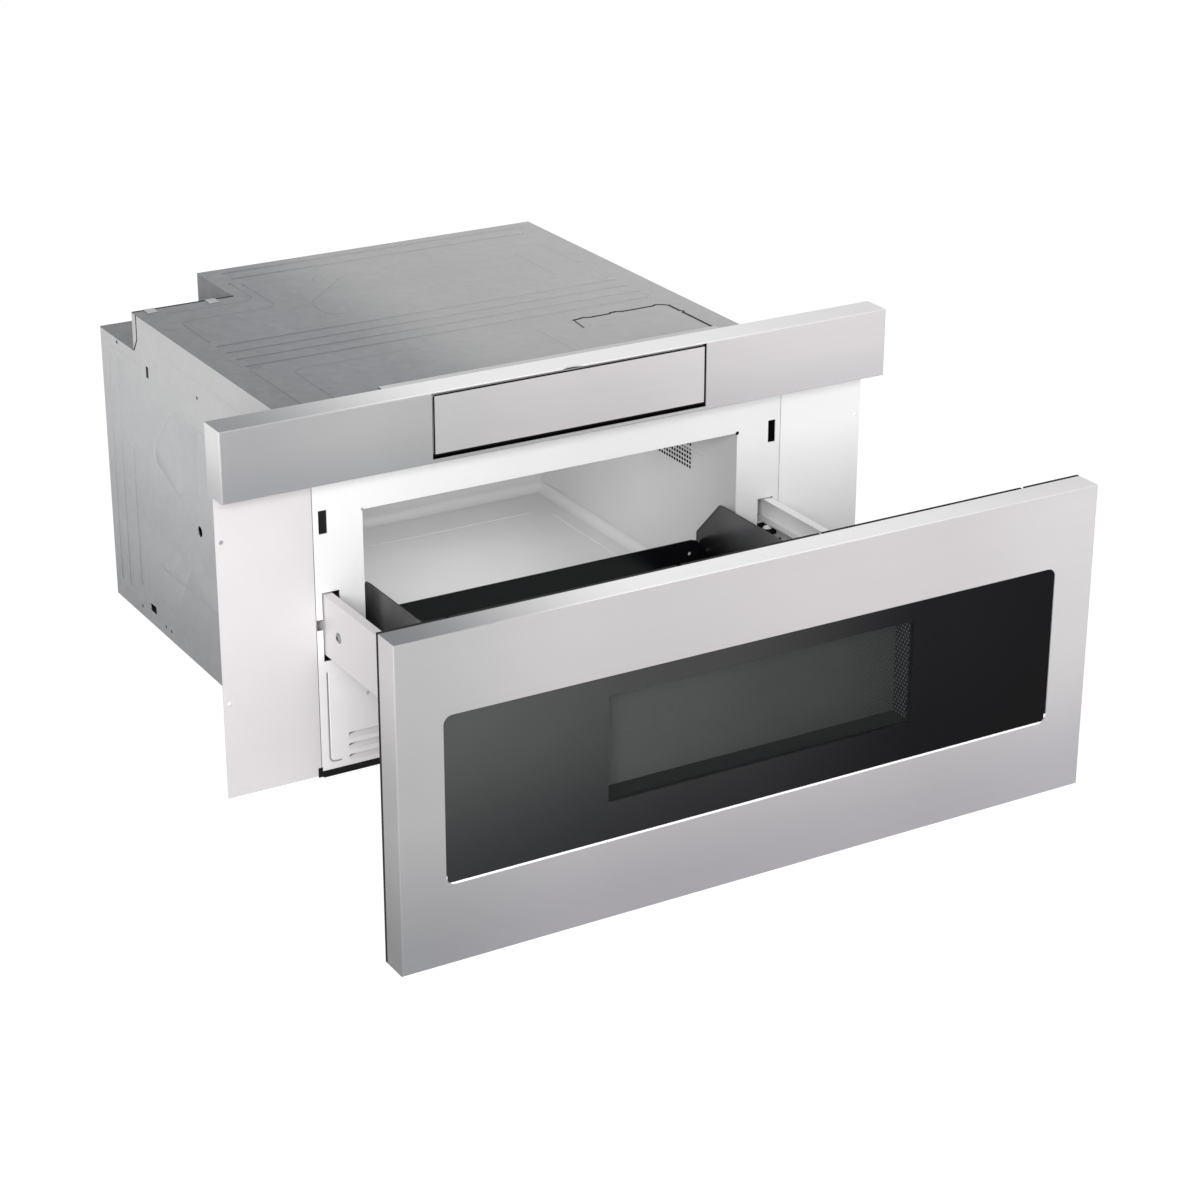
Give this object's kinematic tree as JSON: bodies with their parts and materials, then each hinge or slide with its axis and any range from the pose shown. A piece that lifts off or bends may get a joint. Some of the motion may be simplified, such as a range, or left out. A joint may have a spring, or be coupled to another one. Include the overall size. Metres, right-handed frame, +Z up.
{
  "type": "microwave drawer",
  "caption": "Built-in microwave oven drawer with a sliding windowed door and tray, a tilting hidden control panel, side flanges and a sheet metal chassis.",
  "frame": {"origin": "bottom of the chassis in the front plane of its frame, on the middle plane", "axes": "+X to the right seen from the front, +Y from the door back to the chassis, +Z up"},
  "size_m": [0.76, 0.9366, 0.4016],
  "materials": {
    "zinc_base": "zinc-coated sheet steel, satin",
    "zinc_side": "zinc-coated sheet steel, satin",
    "zinc_cover": "zinc-coated sheet steel, satin",
    "black_plastic": "moulded black plastic",
    "white_paint": "smooth white paint, semi-gloss",
    "screw_steel": "zinc-plated screws",
    "stainless": "brushed stainless steel, grain along X",
    "grey_plastic": "moulded dark grey plastic",
    "touch_glass": "black touch glass, polished",
    "cavity_paint": "pale grey enamel, semi-gloss",
    "floor_ceramic": "pale glass ceramic plate, satin",
    "magnetron_metal": "aluminium fins in a steel yoke",
    "motor_can": "plated motor can",
    "antenna_metal": "plain aluminium sheet",
    "board_green": "circuit board with its transformer and heat sink, drawn as one",
    "slide_steel": "zinc-plated slide steel",
    "ball_white": "white acetal balls",
    "white_plastic": "moulded white acetal",
    "plunger_red": "moulded red plastic",
    "door_glass": "dark tinted glass, polished",
    "black_paint": "black paint, semi-gloss",
    "screen_paint": "perforated sheet, dark grey paint",
    "tray_paint": "black enamel, semi-gloss",
    "tray_glass": "clear tempered glass"
  },
  "bodies": {
    "chassis": {"base_plate": "zinc_base", "side_panel_left": "zinc_side", "side_panel_right": "zinc_side", "top_cover": "zinc_cover", "notch_pan": "zinc_side", "back_panel": "zinc_base", "control_bay_cover": "zinc_cover", "cord_gland": "black_plastic", "front_frame": "white_paint", "flange_left": "white_paint", "flange_right": "white_paint", "chassis_screws": "screw_steel", "air_guide": "black_plastic", "trim_shell": "stainless", "control_housing": "grey_plastic", "cavity_box": "cavity_paint", "cavity_floor_plate": "floor_ceramic", "waveguide": "zinc_base", "magnetron": "magnetron_metal", "antenna_motor": "motor_can", "fan_housing": "grey_plastic", "fan_motor": "motor_can", "inverter_supply": "board_green", "cavity_lamp": "grey_plastic", "control_board": "board_green", "slide_fixed_left": "slide_steel", "slide_fixed_right": "slide_steel", "drive_motor": "motor_can", "interlock_left": "black_plastic", "interlock_right": "black_plastic"},
    "drawer": {"door_rail_left": "white_paint", "door_rail_right": "white_paint", "slide_moving_left": "slide_steel", "slide_moving_right": "slide_steel", "rail_screws": "screw_steel", "drive_rack": "white_plastic", "latch_brackets": "slide_steel", "door_skin": "stainless", "door_glass": "door_glass", "door_inner_panel": "black_paint", "door_screen": "screen_paint", "door_back_cover": "black_plastic", "tray_side_left": "tray_paint", "tray_side_right": "tray_paint", "tray_rear_strip": "tray_paint", "glass_tray": "tray_glass"},
    "cage_left": {"ball_cage_left": "black_plastic", "slide_balls_left": "ball_white"},
    "cage_right": {"ball_cage_right": "black_plastic", "slide_balls_right": "ball_white"},
    "pinion": {"drive_pinion": "white_plastic"},
    "control_panel": {"panel_housing": "black_plastic", "panel_glass": "touch_glass", "panel_fascia": "stainless"},
    "fan": {"fan_impeller": "black_plastic"},
    "antenna": {"rotating_antenna": "antenna_metal"},
    "latch_left": {"latch_hook_left": "white_plastic"},
    "latch_right": {"latch_hook_right": "white_plastic"},
    "plunger_left": {"switch_plunger_left": "plunger_red"},
    "plunger_right": {"switch_plunger_right": "plunger_red"}
  },
  "joints": [
    {"name": "drawer_slide", "type": "slide", "parent": "chassis", "child": "drawer", "axis": [0, -1, 0], "range_m": [-0.3555, 0]},
    {"name": "cage_left_slide", "type": "slide", "parent": "chassis", "child": "cage_left", "axis": [0, -1, 0], "range_m": [-0.178, 0]},
    {"name": "cage_right_slide", "type": "slide", "parent": "chassis", "child": "cage_right", "axis": [0, -1, 0], "range_m": [-0.178, 0]},
    {"name": "pinion_spin", "type": "hinge", "parent": "chassis", "child": "pinion", "pos_m": [0.2417, 0.05, 0.143], "axis": [0, 0, 1], "range_deg": [-1, 1360]},
    {"name": "control_panel_tilt", "type": "hinge", "parent": "chassis", "child": "control_panel", "pos_m": [0, -0.0268, 0.3365], "axis": [1, 0, 0], "range_deg": [0, 45]},
    {"name": "fan_spin", "type": "hinge", "parent": "chassis", "child": "fan", "pos_m": [-0.105, 0.52, 0.118], "axis": [0, 1, 0], "continuous": true},
    {"name": "antenna_spin", "type": "hinge", "parent": "chassis", "child": "antenna", "pos_m": [0, 0.211, 0.04], "axis": [0, 0, 1], "continuous": true},
    {"name": "latch_left_pivot", "type": "hinge", "parent": "drawer", "child": "latch_left", "pos_m": [-0.262, -0.3687, 0.2695], "axis": [1, 0, 0], "range_deg": [0, 8], "stiffness_Nm_per_rad": 0.2, "springref_deg": -5.73},
    {"name": "latch_right_pivot", "type": "hinge", "parent": "drawer", "child": "latch_right", "pos_m": [0.262, -0.3687, 0.2695], "axis": [1, 0, 0], "range_deg": [0, 8], "stiffness_Nm_per_rad": 0.2, "springref_deg": -5.73},
    {"name": "plunger_left_press", "type": "slide", "parent": "chassis", "child": "plunger_left", "axis": [0, 1, 0], "range_m": [0, 0.0015], "stiffness_N_per_m": 200, "springref_m": -0.002},
    {"name": "plunger_right_press", "type": "slide", "parent": "chassis", "child": "plunger_right", "axis": [0, 1, 0], "range_m": [0, 0.0015], "stiffness_N_per_m": 200, "springref_m": -0.002}
  ],
  "couplings": [
    {"joint": "cage_left_slide", "follows": "drawer_slide", "ratio": 0.5},
    {"joint": "cage_right_slide", "follows": "drawer_slide", "ratio": 0.5},
    {"joint": "pinion_spin", "follows": "drawer_slide", "rad_per_m": -66.667}
  ]
}
